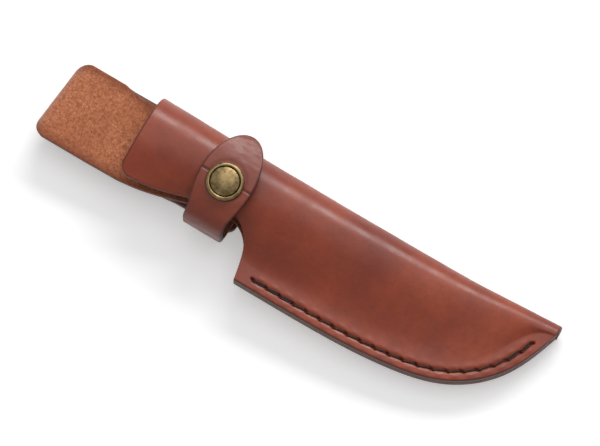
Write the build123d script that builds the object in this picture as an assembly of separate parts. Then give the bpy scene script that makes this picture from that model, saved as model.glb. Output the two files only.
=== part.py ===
from build123d import *
import os
from math import asin, atan2, cos, degrees, pi, radians, sin, sqrt

# Folded leather knife sheath with a belt loop and a snap strap.
# Row frame: +X from the belt loop to the tip, +Y towards the folded spine,
# +Z out of the front panel, z = 0 on the outer face of the belt loop. Millimetres.

os.makedirs("parts", exist_ok=True)

# ---- leather thicknesses -------------------------------------------------
LEATHER = 3.0          # the folded blank: front, spine, back, tongue and loop
WELT_T = 2.7           # strip sewn between front and back along the seam
STRAP_T = 2.4          # retaining strap

# ---- belt loop and tongue ------------------------------------------------
BELT_GAP = 6.5         # clear height for the belt, between tongue and loop
LOOP_CREST_X = -107.0  # outermost line of the fold, half way across
LOOP_SLANT = 5.5       # degrees the fold is out of square
TONGUE_LO_Y = -13.4    # lower edge of the tongue
TONGUE_HI_Y = 20.7     # upper edge of the tongue
TONGUE_CORNER = 5.5    # corner radius where the tongue narrows into the fold
TONGUE_ROOT_X = -94.0  # where the flat tongue ends and the fold profile starts
TAIL_W = 24.0          # width of the folded-back tail
TAIL_CORNER = 4.0
TAIL_END_X = -20.8
BELT_END_X = -55.0     # far end of the level stretch that the belt lies on
TAIL_RISE_L = 11.0     # length over which the tail rises to the back panel

# ---- pouch ---------------------------------------------------------------
MOUTH_X = -69.6
MOUTH_CORNER = 4.6     # radius of the front panel's corner at the mouth
TIP_X = 107.7
SEAM_START = (-9.9, -24.7)
SEAM_W = 7.0           # flat sewn border, from the cut edge inwards
WELT_END_Y = 19.5      # the welt stops short of the fold at the tip
GLUE_LINE = 0.03       # between the welt and the front
STITCH_INSET = 3.8     # from the cut edge to the stitch line
STITCH_PITCH = 5.9
STITCH_FIRST = 6.5     # along the edge, from the notch corner to the first hole
HOLE_D = 1.4           # awl hole, a diamond measured along the seam
THREAD_D = 0.9

# ---- strap ---------------------------------------------------------------
STRAP_X = -30.7        # centre line of the strap
STRAP_W = 16.9         # width at the anchor and the bend
FLAP_HALF_W = 11.2     # half width at the widest place
FLAP_WIDEST_Y = 4.6
FLAP_TIP_Y = 25.6
FLAP_R = 33.0          # the flap's arc over the front panel, at mid thickness
BEND_LO_Y = -13.05     # outermost mid-thickness line of the bend
BEND_UPPER_R = 7.5     # bend into the flap, at mid thickness
BEND_LOWER_R = 5.5     # bend up from the back panel, at mid thickness
ANCHOR_END_Y = 13.5    # sewn end of the strap, on the back panel
JOINT_GAP = 0.3        # between the strap's fixed part and its flap
SEW_X = (-36.5, -25.0) # the stitched rectangle that holds tail and strap
SEW_Y = (-3.5, 11.0)
SEW_PITCH = 3.9

# ---- snap ----------------------------------------------------------------
SNAP_Y = 4.6
SNAP_TILT = 6.5        # degrees that the snap leans towards the bend
SNAP_STACK = 3.0       # front panel to flap, where the snap is closed
SNAP_SINK = 0.35       # how far the snap's flanges are pressed into the leather
CAP_D = 15.0
CAP_H = 2.6
CAP_GROOVE_D = 11.8    # ring pressed round the cap's dome
CAP_GROOVE = 0.35      # its depth and half its width
SOCKET_FLANGE_D = 12.2
SOCKET_D = 9.6
SOCKET_BORE_D = 7.6
SPRING_WIRE_D = 0.6
SPRING_GAP = 40        # degrees left open in the spring ring
STUD_FLANGE_D = 9.6
STUD_KNOB_D = 6.0
STUD_NECK_D = 5.0
STUD_H = 2.2
POST_FLANGE_D = 10.5
BARREL_D = 4.2         # rivet barrels of the cap and of the post
FLARE_W = 0.6          # how far the cap's barrel is spread under the socket
SHEET_T = 0.6          # thickness of the snap's pressed metal
FIT = 0.05             # radial clearance of a barrel in its hole
SNAP_CLEAR = 0.3       # between the snap's two halves when it is closed

# ---- levels --------------------------------------------------------------
PANEL_Z = LEATHER + BELT_GAP            # outer face of the back panel
FLESH_Z = PANEL_Z + LEATHER             # inner face of the back panel
STACK = 2 * LEATHER + WELT_T            # sewn border: back, welt and front
SEAM_TOP_Z = PANEL_Z + STACK
ANCHOR_Z = PANEL_Z - STRAP_T            # outer face of the strap's anchor
TAIL_Z = ANCHOR_Z - LEATHER             # outer face of the sewn tail
FAR = 60.0                              # past every outline


# ---- plan outlines -------------------------------------------------------
def seam_edge():
    """Cut edge from the notch corner round to the tip, seen from the front."""
    return Spline(SEAM_START, (20, -24.7), (58.9, -22.3), (79.7, -16.7), (97.7, -1.7),
                  (TIP_X, 21.5))


def grip_edge():
    """Unsewn edge of the pouch: from the mouth corner to the seam's first corner."""
    return Spline((MOUTH_X + MOUTH_CORNER, -12.0), (-54, -10.6), (-42, -7.4), (-30, -4.9),
                  (-20.5, -4.7), (-14.4, -9.8), (-11.8, -16.0), SEAM_START)


def inset_points(edge, inset, count=240):
    """Points of a plan curve moved sideways, to the left of its direction."""
    points = []
    for i in range(count + 1):
        p = edge.position_at(i / count)
        d = edge.tangent_at(i / count)
        points.append((p.X - inset * d.Y, p.Y + inset * d.X))
    return points


def height_at(points, x):
    """The y of a row of plan points at x."""
    for (xa, ya), (xb, yb) in zip(points, points[1:]):
        if xa <= x <= xb:
            return ya + (yb - ya) * (x - xa) / (xb - xa)
    return points[-1][1]


# ---- the folded pouch ----------------------------------------------------
def pouch_section(x, spine_y, depth, back_r, knee_y, knee_h, crown, ramp):
    """Cross-section of the folded leather at x, as a closed wire.

    depth is the pouch's thickness over the spine, back_r the radius of the fold at
    the back. The front panel falls from the fold's top to a knee at knee_y, knee_h
    above the back panel's outer face; crown and ramp say how long it stays level
    at the top and at the knee."""
    front_r = depth - back_r
    base = PANEL_Z

    def at(y, h):
        return (x, y, base + h)

    def bend(radius, cy, ch, start):
        """Three points of a quarter turn, from the given angle."""
        return [at(cy + radius * cos(radians(a)), ch + radius * sin(radians(a)))
                for a in (start, start + 45, start + 90)]

    lower = bend(back_r, spine_y - back_r, back_r, -90)
    upper = bend(front_r, spine_y - front_r, back_r, 0)
    upper_in = bend(front_r - LEATHER, spine_y - front_r, back_r, 0)
    lower_in = bend(back_r - LEATHER, spine_y - back_r, back_r, -90)
    top_y = spine_y - front_r

    def fall(thick):
        return [at(top_y, depth - thick), at(top_y - crown, depth - thick),
                at(knee_y + ramp, knee_h - thick), at(knee_y, knee_h - thick)]

    edges = [Line(at(-FAR, 0), lower[0]), ThreePointArc(*lower), ThreePointArc(*upper),
             Bezier(*fall(0)), Line(at(knee_y, knee_h), at(-FAR, knee_h)),
             Line(at(-FAR, knee_h), at(-FAR, knee_h - LEATHER)),
             Line(at(-FAR, knee_h - LEATHER), at(knee_y, knee_h - LEATHER)),
             Bezier(*reversed(fall(LEATHER))), ThreePointArc(*reversed(upper_in)),
             ThreePointArc(*reversed(lower_in)),
             Line(lower_in[0], at(-FAR, LEATHER)), Line(at(-FAR, LEATHER), at(-FAR, 0))]
    return Wire(edges)


def pouch_stations():
    """Sections from the mouth to the tip. The knee follows the sewn border's inner
    side along the seam, and rises off the welt towards the mouth."""
    inner = inset_points(seam_edge(), SEAM_W)
    lift = STACK
    rows = [(MOUTH_X, 22.9, 19.5, 6.5, -13.5, lift + 6.0, 13, 5),
            (-58.0, 22.7, 19.3, 6.5, -13.0, lift + 3.8, 13, 4),
            (-45.0, 22.5, 19.0, 6.5, -11.0, lift + 1.5, 14, 3),
            (-30.0, 22.3, 18.7, 6.3, -9.0, lift + 0.5, 15, 2),
            (-19.0, 22.2, 18.4, 6.2, -12.0, lift + 0.1, 14, 4),
            (-12.0, 22.2, 18.1, 6.1, -16.0, lift, 13, 6)]
    for x, spine_y, depth, back_r, crown, ramp in (
            (-7.0, 22.2, 17.9, 6.1, 12, 7), (8.0, 22.2, 17.3, 6.0, 12, 8),
            (32.0, 22.3, 16.0, 5.7, 11, 9), (56.0, 22.5, 14.4, 5.4, 9, 9),
            (75.0, 23.0, 12.7, 5.1, 6, 8), (88.0, 23.8, 11.2, 4.8, 4, 5),
            (98.0, 24.5, 10.0, 4.6, 1.5, 1.5), (104.0, 24.9, 9.3, 4.5, 0.3, 0.3),
            (TIP_X + 2, 25.2, STACK + 0.1, 4.4, 0.3, 0.3)):
        level = spine_y - (depth - back_r) - 1.0
        rows.append((x, spine_y, depth, back_r, min(height_at(inner, x), level), lift,
                     crown, ramp))
    return rows


def pouch_outline():
    """Plan outline of the folded pouch; the spine side is left to the fold."""
    seam = seam_edge()
    grip = grip_edge()
    corner = grip @ 0
    mouth = Polyline((TIP_X, 21.5), (TIP_X + 0.5, FAR), (MOUTH_X, FAR),
                     (MOUTH_X, corner.Y + MOUTH_CORNER))
    turn = JernArc((MOUTH_X, corner.Y + MOUTH_CORNER), (0, -1), MOUTH_CORNER, 90)
    return make_face(Wire([*mouth.edges(), *turn.edges(), *grip.edges(), *seam.edges()]))


def tongue_plate():
    """Flat leather of the tongue, running in under the mouth."""
    edge = grip_edge()
    inner_x = -52.0
    meets = height_at([(p.X, p.Y) for p in (edge @ (i / 60) for i in range(61))], inner_x)
    lower = Spline((MOUTH_X - 4, TONGUE_LO_Y), (-60, -12.0), (inner_x, meets),
                   tangents=((1, 0), (1, 0.25)))
    flat_y = 15.5
    rest = Polyline((inner_x, meets), (inner_x, flat_y), (MOUTH_X + 0.2, flat_y),
                    (MOUTH_X + 0.2, TONGUE_HI_Y), (TONGUE_ROOT_X, TONGUE_HI_Y),
                    (TONGUE_ROOT_X, TONGUE_LO_Y), (MOUTH_X - 4, TONGUE_LO_Y))
    plan = make_face(Wire([*lower.edges(), *rest.edges()]))
    return extrude(Pos(0, 0, PANEL_Z) * plan, LEATHER, dir=(0, 0, 1))


def loop_fold():
    """The fold at the tongue's far end with its two legs, a little out of square."""
    out_r = FLESH_Z / 2
    in_r = BELT_GAP / 2
    half = (TONGUE_HI_Y - TONGUE_LO_Y) / 2
    lean = half * sin(radians(LOOP_SLANT))
    fold_x = LOOP_CREST_X + out_r - lean
    leg_x = TONGUE_ROOT_X + 2 * lean
    y = TONGUE_LO_Y
    side = Wire([Line((leg_x, y, FLESH_Z), (fold_x, y, FLESH_Z)),
                 ThreePointArc((fold_x, y, FLESH_Z), (fold_x - out_r, y, out_r), (fold_x, y, 0)),
                 Line((fold_x, y, 0), (leg_x, y, 0)),
                 Line((leg_x, y, 0), (leg_x, y, LEATHER)),
                 Line((leg_x, y, LEATHER), (fold_x, y, LEATHER)),
                 ThreePointArc((fold_x, y, LEATHER), (fold_x - in_r, y, out_r),
                               (fold_x, y, PANEL_Z)),
                 Line((fold_x, y, PANEL_Z), (leg_x, y, PANEL_Z)),
                 Line((leg_x, y, PANEL_Z), (leg_x, y, FLESH_Z))])
    return Solid.extrude(Face(side), Vector(2 * lean, 2 * half, 0))


def loop_tail():
    """The level stretch behind the belt, the rise and the sewn tail."""
    rise_x = BELT_END_X + TAIL_RISE_L
    soft = TAIL_RISE_L * 0.45
    y = TONGUE_LO_Y

    def at(x, z):
        return (x, y, z)

    side = Wire([Line(at(TONGUE_ROOT_X, 0), at(BELT_END_X, 0)),
                 Bezier(at(BELT_END_X, 0), at(BELT_END_X + soft, 0),
                        at(rise_x - soft, TAIL_Z), at(rise_x, TAIL_Z)),
                 Line(at(rise_x, TAIL_Z), at(TAIL_END_X, TAIL_Z)),
                 Line(at(TAIL_END_X, TAIL_Z), at(TAIL_END_X, ANCHOR_Z)),
                 Line(at(TAIL_END_X, ANCHOR_Z), at(rise_x, ANCHOR_Z)),
                 Bezier(at(rise_x, ANCHOR_Z), at(rise_x - soft, ANCHOR_Z),
                        at(BELT_END_X + soft, LEATHER), at(BELT_END_X, LEATHER)),
                 Line(at(BELT_END_X, LEATHER), at(TONGUE_ROOT_X, LEATHER)),
                 Line(at(TONGUE_ROOT_X, LEATHER), at(TONGUE_ROOT_X, 0))])
    return Solid.extrude(Face(side), Vector(0, TONGUE_HI_Y - TONGUE_LO_Y, 0))


def belt_loop():
    """The tongue's far end: folded back, level for the belt, then up to the strap."""
    mid_y = (TONGUE_LO_Y + TONGUE_HI_Y) / 2
    half = (TONGUE_HI_Y - TONGUE_LO_Y) / 2
    lean = half * sin(radians(LOOP_SLANT))
    past = LOOP_CREST_X - 0.3
    mid_z = FLESH_Z / 2
    front = make_face(Polyline((TONGUE_ROOT_X + 4, TONGUE_LO_Y), (past - lean, TONGUE_LO_Y),
                               (past + lean, TONGUE_HI_Y), (TONGUE_ROOT_X + 4, TONGUE_HI_Y),
                               close=True))
    ends = [v for v in front.vertices() if v.X < TONGUE_ROOT_X]
    front = fillet(ends, TONGUE_CORNER)
    tail = Pos((past - lean * 2 + TAIL_END_X) / 2, mid_y) * Rectangle(
        TAIL_END_X - past + lean * 2, TAIL_W)
    tail = fillet([v for v in tail.vertices() if v.X > -50], TAIL_CORNER)
    keep = (extrude(Pos(0, 0, mid_z) * front, mid_z + 1, dir=(0, 0, 1))
            + extrude(Pos(0, 0, -1) * tail, mid_z + 1, dir=(0, 0, 1)))
    return (loop_fold() + loop_tail()) & keep


def prism(plan, low, high):
    """Upright solid between two levels over a plan outline."""
    face = plan.face()
    if face.normal_at().Z < 0:
        face = -face
    return Solid.extrude(Pos(0, 0, low) * face, Vector(0, 0, high - low))


def snap_place(seat_z):
    """Frame of the snap: its origin on the front panel, +Z out through the cap."""
    return Pos(STRAP_X, SNAP_Y, seat_z) * Rot(SNAP_TILT, 0, 0)


def disc(place, diameter, low, high):
    """Cylinder on the snap's axis between two heights over the front panel."""
    return place * Pos(0, 0, (low + high) / 2) * Cylinder(diameter / 2, high - low)


# ---- stitching -----------------------------------------------------------
def seam_holes():
    """Centres of the awl holes along the seam, from the notch to the tip."""
    line = inset_points(seam_edge(), STITCH_INSET)
    holes = []
    gone = 0.0
    due = STITCH_FIRST
    for (xa, ya), (xb, yb) in zip(line, line[1:]):
        step = sqrt((xb - xa) ** 2 + (yb - ya) ** 2)
        while gone + step >= due:
            share = (due - gone) / step
            holes.append((xa + (xb - xa) * share, ya + (yb - ya) * share))
            due += STITCH_PITCH
        gone += step
    return holes[:-1]


def sew_holes():
    """Centres of the holes round the rectangle that holds tail and strap."""
    (xa, xb), (ya, yb) = SEW_X, SEW_Y
    across = round((xb - xa) / SEW_PITCH)
    along = round((yb - ya) / SEW_PITCH)
    holes = [(xa + (xb - xa) * i / across, ya) for i in range(across)]
    holes += [(xb, ya + (yb - ya) * i / along) for i in range(along)]
    holes += [(xb - (xb - xa) * i / across, yb) for i in range(across)]
    holes += [(xa, yb - (yb - ya) * i / along) for i in range(along)]
    return holes


def thread(holes, bar_z, leg_z, closed=False):
    """One thread of a lockstitch: a bar from hole to hole, a leg down each hole."""
    ends = holes[1:] + holes[:1] if closed else holes[1:]
    pieces = []
    for (xa, ya), (xb, yb) in zip(holes, ends):
        run = Vector(xb - xa, yb - ya, 0)
        start = Plane(origin=(xa, ya, bar_z), z_dir=run)
        pieces.append(extrude(start * RegularPolygon(THREAD_D / 2, 4), run.length))
    for x, y in holes:
        low, high = sorted((bar_z, leg_z))
        pieces.append(extrude(Pos(x, y, low) * RegularPolygon(THREAD_D / 2, 4), high - low))
    return pieces[0].fuse(*pieces[1:])


def punch(holes, low, high):
    """Diamond-shaped awl holes between two levels, as tools to cut with."""
    return [extrude(Pos(x, y, low) * RegularPolygon(HOLE_D / 2, 4), high - low)
            for x, y in holes]


# ---- strap ---------------------------------------------------------------
def flap_centre(seat_z):
    """Centre of the flap's arc, in y and z."""
    reach = SNAP_STACK + STRAP_T / 2 - FLAP_R
    return (SNAP_Y - reach * sin(radians(SNAP_TILT)), seat_z + reach * cos(radians(SNAP_TILT)))


def round_at(centre, radius, angle):
    """Point of a circle in the plane x = 0; angle 0 is up, positive towards +Y."""
    return (0, centre[0] + radius * sin(angle), centre[1] + radius * cos(angle))


def arc_at(centre, radius, start, end):
    return ThreePointArc(*(round_at(centre, radius, a) for a in (start, (start + end) / 2, end)))


def bend_angle(seat_z):
    """Where the flap's arc runs into the bend, as an angle on both arcs."""
    cy = flap_centre(seat_z)[0]
    return asin((BEND_LO_Y + BEND_UPPER_R - cy) / (FLAP_R - BEND_UPPER_R))


def flap_outline(hinge_y):
    """Plan outline of the flap: straight flanks that widen, and an elliptical head."""
    half = STRAP_W / 2
    right = Spline((half, hinge_y), (FLAP_HALF_W, FLAP_WIDEST_Y),
                   tangents=((0.08, 1), (0, 1)))
    left = Spline((-FLAP_HALF_W, FLAP_WIDEST_Y), (-half, hinge_y),
                  tangents=((0, -1), (0.08, -1)))
    head = EllipticalCenterArc((0, FLAP_WIDEST_Y), FLAP_HALF_W, FLAP_TIP_Y - FLAP_WIDEST_Y,
                               0, arc_size=180)
    base = Line((-half, hinge_y), (half, hinge_y))
    return Pos(STRAP_X, 0) * make_face(Wire([*right.edges(), *head.edges(), *left.edges(),
                                             *base.edges()]))


def strap_flap(seat_z, place):
    """The loose end of the strap, from the bend over the front panel to its tip."""
    centre = flap_centre(seat_z)
    start = bend_angle(seat_z) + JOINT_GAP / FLAP_R
    end = asin((FLAP_TIP_Y + 0.5 - centre[0]) / FLAP_R)
    out_r = FLAP_R + STRAP_T / 2
    in_r = FLAP_R - STRAP_T / 2
    side = Wire([arc_at(centre, out_r, start, end),
                 Line(round_at(centre, out_r, end), round_at(centre, in_r, end)),
                 arc_at(centre, in_r, end, start),
                 Line(round_at(centre, in_r, start), round_at(centre, out_r, start))])
    wide = FLAP_HALF_W + 1
    strip = Solid.extrude(Pos(STRAP_X - wide, 0, 0) * Face(side), Vector(2 * wide, 0, 0))
    hinge_y = round_at(centre, out_r, start)[1] - 1
    flap = strip & prism(flap_outline(hinge_y), 0, FAR)
    under = SNAP_STACK + SNAP_SINK
    over = SNAP_STACK + STRAP_T - SNAP_SINK
    return flap - [disc(place, BARREL_D + 2 * FIT, 0, SNAP_STACK + STRAP_T + 2),
                   disc(place, SOCKET_FLANGE_D + 2 * FIT, 0, under),
                   disc(place, CAP_D + 2 * FIT, over, over + CAP_H)]


def strap_base(seat_z):
    """The sewn end of the strap and the bend that carries the flap."""
    join = bend_angle(seat_z)
    upper = (BEND_LO_Y + BEND_UPPER_R,
             flap_centre(seat_z)[1] + (FLAP_R - BEND_UPPER_R) * cos(join))
    lower = (BEND_LO_Y + BEND_LOWER_R, ANCHOR_Z + STRAP_T / 2 + BEND_LOWER_R)
    half = STRAP_T / 2
    west = -pi / 2

    def side(sign):
        ru = BEND_UPPER_R + sign * half
        rl = BEND_LOWER_R + sign * half
        level = lower[1] - rl
        return [arc_at(upper, ru, join, west),
                Line(round_at(upper, ru, west), round_at(lower, rl, west)),
                arc_at(lower, rl, west, -pi),
                Line(round_at(lower, rl, -pi), (0, ANCHOR_END_Y, level))]

    outer = side(1)
    inner = side(-1)
    caps = [Line(outer[-1] @ 1, inner[-1] @ 1), Line(inner[0] @ 0, outer[0] @ 0)]
    profile = Face(Wire([*outer, caps[0], *inner, caps[1]]))
    return Solid.extrude(Pos(STRAP_X - STRAP_W / 2, 0, 0) * profile, Vector(STRAP_W, 0, 0))


# ---- snap ----------------------------------------------------------------
def turned(place, *outline):
    """Solid of revolution on the snap's axis from (radius, height) corners."""
    profile = make_face(Plane.XZ * Polyline(*outline, close=True))
    return place * revolve(profile, Axis.Z)


def snap_cap(place):
    """Domed cap with a rolled rim, a pressed ring and its rivet barrel."""
    base = SNAP_STACK + STRAP_T - SNAP_SINK
    rim = CAP_D / 2
    ring = CAP_GROOVE_D / 2
    barrel = BARREL_D / 2
    flare_z = SNAP_STACK + SNAP_SINK - SHEET_T
    shoulder = base + CAP_H * 0.55
    top = base + CAP_H
    edge = ring - CAP_GROOVE
    dome_r = (edge ** 2 + (top - shoulder) ** 2) / (2 * (top - shoulder))
    half_turn = asin(edge / dome_r) / 2
    dome = ThreePointArc((edge, shoulder),
                         (dome_r * sin(half_turn), top - dome_r * (1 - cos(half_turn))), (0, top))
    rest = Polyline((0, top), (0, flare_z - FLARE_W), (barrel + FLARE_W, flare_z - FLARE_W),
                    (barrel + FLARE_W, flare_z), (barrel, flare_z), (barrel, base),
                    (rim - 0.3, base), (rim, base + CAP_H * 0.15), (rim - 0.1, shoulder - 0.4),
                    (ring + CAP_GROOVE + 0.3, shoulder + 0.1),
                    (ring + CAP_GROOVE, shoulder + 0.1), (ring, shoulder - CAP_GROOVE),
                    (edge, shoulder))
    outline = Wire([*dome.edges(), *rest.edges()])
    return place * revolve(Plane.XZ * make_face(outline), Axis.Z)


def snap_socket(place):
    """Cup under the flap, with a flange let into the leather and a spring groove."""
    top = SNAP_STACK + SNAP_SINK
    plate = top - SHEET_T
    mouth = SHEET_T - SNAP_SINK + SNAP_CLEAR
    bore = SOCKET_BORE_D / 2
    wire = SPRING_WIRE_D / 2
    mid = (mouth + plate) / 2
    return turned(place, (BARREL_D / 2 + FIT, top), (SOCKET_FLANGE_D / 2, top),
                  (SOCKET_FLANGE_D / 2, plate), (SOCKET_D / 2, plate), (SOCKET_D / 2, mouth),
                  (bore, mouth), (bore, mid - wire - FIT), (bore + 2 * wire, mid - wire - FIT),
                  (bore + 2 * wire, mid + wire + FIT), (bore, mid + wire + FIT), (bore, plate),
                  (BARREL_D / 2 + FIT, plate))


def snap_spring(place):
    """Open wire ring in the socket's groove; it grips the stud's knob."""
    plate = SNAP_STACK + SNAP_SINK - SHEET_T
    mouth = SHEET_T - SNAP_SINK + SNAP_CLEAR
    ring_r = SOCKET_BORE_D / 2 + SPRING_WIRE_D / 2
    section = Pos(ring_r, 0) * RegularPolygon(SPRING_WIRE_D / 2 - FIT / 2, 6)
    ring = revolve(Plane.XZ * section, Axis.Z, 360 - SPRING_GAP)
    return place * Pos(0, 0, (mouth + plate) / 2) * ring


def snap_stud(place):
    """Knob on the front panel that the socket closes over."""
    seat = -SNAP_SINK
    hole = BARREL_D / 2 + FIT
    top = seat + STUD_H
    knob = STUD_KNOB_D / 2
    neck = STUD_NECK_D / 2
    return turned(place, (hole, seat), (STUD_FLANGE_D / 2, seat),
                  (STUD_FLANGE_D / 2, seat + SHEET_T), (neck, seat + SHEET_T),
                  (neck, seat + STUD_H * 0.45), (knob, seat + STUD_H * 0.6),
                  (knob, top - STUD_H * 0.15), (knob - 0.4, top), (hole, top))


def snap_post(place):
    """Rivet through the front panel that holds the stud, flanged inside the pouch."""
    seat = SNAP_SINK - LEATHER
    return turned(place, (0, seat - SHEET_T), (POST_FLANGE_D / 2, seat - SHEET_T),
                  (POST_FLANGE_D / 2, seat), (BARREL_D / 2, seat),
                  (BARREL_D / 2, STUD_H - SNAP_SINK - SHEET_T), (0, STUD_H - SNAP_SINK - SHEET_T))


# ---- welt ----------------------------------------------------------------
def welt(outline):
    """Filler between front and back along the seam, up to the fold at the tip."""
    edge = seam_edge()
    start = edge @ 0
    inner = [p for p in inset_points(edge, SEAM_W, 16) if p[1] < 18.0]
    side = Spline(*reversed(inner))
    past = start.X - 5
    notch = Polyline(inner[0], (past, inner[0][1]), (past, start.Y), (start.X, start.Y))
    tip = Line((TIP_X, 21.5), inner[-1])
    band = make_face(Wire([*edge.edges(), *tip.edges(), *side.edges(), *notch.edges()]))
    below = Pos(0, WELT_END_Y - FAR, 0) * Box(4 * FAR, 2 * FAR, 4 * FAR)
    strip = prism(band, FLESH_Z, FLESH_Z + WELT_T - GLUE_LINE)
    return strip & prism(outline, 0, FAR) & below


# ---- assembly ------------------------------------------------------------
outline = pouch_outline()
fold = Solid.make_loft([pouch_section(*row) for row in pouch_stations()])
fold = fold & prism(outline, 0, FAR)
probe = fold.find_intersection_points(Axis((STRAP_X, SNAP_Y, FAR), (0, 0, -1)))
seat_z = max(point.Z for point, _ in probe)
place = snap_place(seat_z)
holes = seam_holes()
sewing = sew_holes()

body = fold + tongue_plate() + belt_loop()
body = body - [disc(place, BARREL_D + 2 * FIT, -LEATHER - 1, 1),
               disc(place, STUD_FLANGE_D + 2 * FIT, -SNAP_SINK, 1),
               disc(place, POST_FLANGE_D + 2 * FIT, -LEATHER - 2, SNAP_SINK - LEATHER)]
body = body - punch(holes, PANEL_Z - 1, SEAM_TOP_Z + 1)
body = body - punch(sewing, TAIL_Z - 1, FLESH_Z + 1)
middle = PANEL_Z + STACK / 2
nodes = {
    "pouch_body": body,
    "welt": welt(outline) - punch(holes, PANEL_Z, SEAM_TOP_Z),
    "seam_thread_front": thread(holes, SEAM_TOP_Z + THREAD_D / 2, middle),
    "seam_thread_back": thread(holes, PANEL_Z - THREAD_D / 2, middle),
    "strap_base": strap_base(seat_z) - punch(sewing, TAIL_Z, FLESH_Z),
    "strap_flap": strap_flap(seat_z, place),
    "strap_thread_inside": thread(sewing, FLESH_Z + THREAD_D / 2, PANEL_Z, closed=True),
    "strap_thread_outside": thread(sewing, TAIL_Z - THREAD_D / 2, PANEL_Z, closed=True),
    "snap_cap": snap_cap(place),
    "snap_socket": snap_socket(place),
    "snap_spring": snap_spring(place),
    "snap_stud": snap_stud(place),
    "snap_post": snap_post(place),
}
for name, shape in nodes.items():
    export_step(shape, f"parts/{name}.step")

centre = flap_centre(seat_z)
hinge = round_at(centre, FLAP_R + STRAP_T / 2, bend_angle(seat_z))
print("hinge y, z:", round(hinge[1], 3), round(hinge[2], 3), "seat z:", round(seat_z, 3))
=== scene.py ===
import bpy
import numpy as np
from math import asin, cos, pi, radians, sin, sqrt
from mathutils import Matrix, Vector, noise


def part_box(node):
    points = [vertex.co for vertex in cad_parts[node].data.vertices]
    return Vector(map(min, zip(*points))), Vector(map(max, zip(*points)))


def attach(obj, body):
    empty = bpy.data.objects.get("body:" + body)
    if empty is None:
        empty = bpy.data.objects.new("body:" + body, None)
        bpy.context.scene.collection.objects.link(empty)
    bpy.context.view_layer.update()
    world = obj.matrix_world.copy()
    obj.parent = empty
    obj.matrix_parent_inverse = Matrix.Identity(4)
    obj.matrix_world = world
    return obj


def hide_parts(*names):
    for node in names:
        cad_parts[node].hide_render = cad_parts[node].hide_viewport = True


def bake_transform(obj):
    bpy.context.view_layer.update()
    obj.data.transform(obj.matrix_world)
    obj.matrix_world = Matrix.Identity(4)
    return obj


# Looks of the leather knife sheath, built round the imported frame.
# Lengths are in millimetres and become metres when a mesh is made.

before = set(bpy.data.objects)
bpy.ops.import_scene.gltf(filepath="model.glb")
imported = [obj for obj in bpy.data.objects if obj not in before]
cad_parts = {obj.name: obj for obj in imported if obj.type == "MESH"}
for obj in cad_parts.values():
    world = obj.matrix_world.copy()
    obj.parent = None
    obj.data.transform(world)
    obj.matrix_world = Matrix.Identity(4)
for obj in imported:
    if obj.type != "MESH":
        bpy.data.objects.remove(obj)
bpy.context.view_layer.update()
MM = 0.001

# ---- leather and belt loop -----------------------------------------------
LEATHER = 3.0
WELT_T = 2.7
STRAP_T = 2.4
PANEL_Z = 9.5
FLESH_Z = PANEL_Z + LEATHER
SEAM_TOP_Z = PANEL_Z + 2 * LEATHER + WELT_T
ANCHOR_Z = PANEL_Z - STRAP_T
MID_Z = FLESH_Z / 2
FOLD_R = MID_Z - LEATHER
FOLD_X = -100.75
LOOP_SLANT = sin(radians(5.5))
TONGUE_LO_Y = -13.4
TONGUE_HI_Y = 20.7
TONGUE_MID_Y = (TONGUE_LO_Y + TONGUE_HI_Y) / 2
TONGUE_CORNER = 5.5
TAIL_HALF_W = 12.0
TAIL_CORNER = 4.0
TAIL_END_X = -20.8
BELT_END_X = -55.0
TAIL_RISE_L = 11.0

# ---- pouch ---------------------------------------------------------------
MOUTH_X = -69.6
MOUTH_CORNER = 4.6
TIP_X = 107.7
SEAM_W = 7.0
STITCH_INSET = 3.8
STITCH_PITCH = 5.9
STITCH_FIRST = 6.5
SEAM_LINE = [(-9.9, -24.7), (20, -24.7), (58.9, -22.3), (79.7, -16.7), (97.7, -1.7),
             (TIP_X, 21.5)]
GRIP_LINE = [(MOUTH_X + MOUTH_CORNER, -12.0), (-54, -10.6), (-42, -7.4), (-30, -4.9),
             (-20.5, -4.7), (-14.4, -9.8), (-11.8, -16.0), (-9.9, -24.7)]
# x, spine y, depth, back radius, knee height over the back, crown, ramp, knee y or none
STATIONS = [(MOUTH_X, 22.9, 19.5, 6.5, 14.7, 13, 5, -13.5),
            (-58.0, 22.7, 19.3, 6.5, 12.5, 13, 4, -13.0),
            (-45.0, 22.5, 19.0, 6.5, 10.2, 14, 3, -11.0),
            (-30.0, 22.3, 18.7, 6.3, 9.2, 15, 2, -9.0),
            (-19.0, 22.2, 18.4, 6.2, 8.8, 14, 4, -12.0),
            (-12.0, 22.2, 18.1, 6.1, 8.7, 13, 6, -16.0),
            (-7.0, 22.2, 17.9, 6.1, 8.7, 12, 7, None),
            (8.0, 22.2, 17.3, 6.0, 8.7, 12, 8, None),
            (32.0, 22.3, 16.0, 5.7, 8.7, 11, 9, None),
            (56.0, 22.5, 14.4, 5.4, 8.7, 9, 9, None),
            (75.0, 23.0, 12.7, 5.1, 8.7, 6, 8, None),
            (88.0, 23.8, 11.2, 4.8, 8.7, 4, 5, None),
            (98.0, 24.5, 10.0, 4.6, 8.7, 1.5, 1.5, None),
            (104.0, 24.9, 9.3, 4.5, 8.7, 0.3, 0.3, None),
            (TIP_X + 2, 25.2, 8.8, 4.4, 8.7, 0.3, 0.3, None)]

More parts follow.
